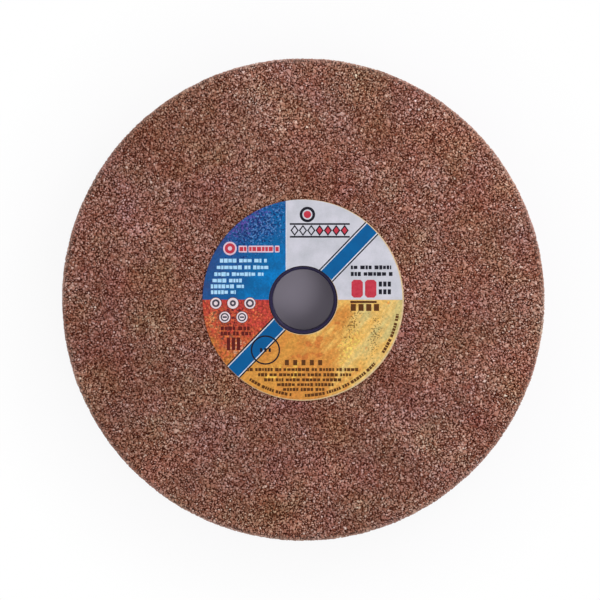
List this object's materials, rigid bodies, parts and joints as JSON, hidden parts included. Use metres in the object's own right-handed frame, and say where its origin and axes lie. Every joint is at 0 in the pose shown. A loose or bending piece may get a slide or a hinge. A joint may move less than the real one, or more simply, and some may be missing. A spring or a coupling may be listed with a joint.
{
  "type": "bench grinding wheel",
  "caption": "Round, flat-sided vitrified abrasive wheel for a bench grinder, with a sleeved centre bore and a round paper label on one side.",
  "frame": {"origin": "centre of the bore in the plane of the bare side, which the wheel lies on", "axes": "+Z along the bore axis, towards the labelled side; +Y up on the label's print, +X to its right"},
  "size_m": [0.25, 0.25, 0.0254],
  "materials": {
    "abrasive": "rough, open-pored reddish brown grit",
    "bush_plastic": "satin moulded plastic",
    "label_paper": "printed paper"
  },
  "bodies": {
    "root": {"abrasive_wheel": "abrasive", "bore_bush": "bush_plastic", "paper_label": "label_paper"}
  },
  "joints": []
}
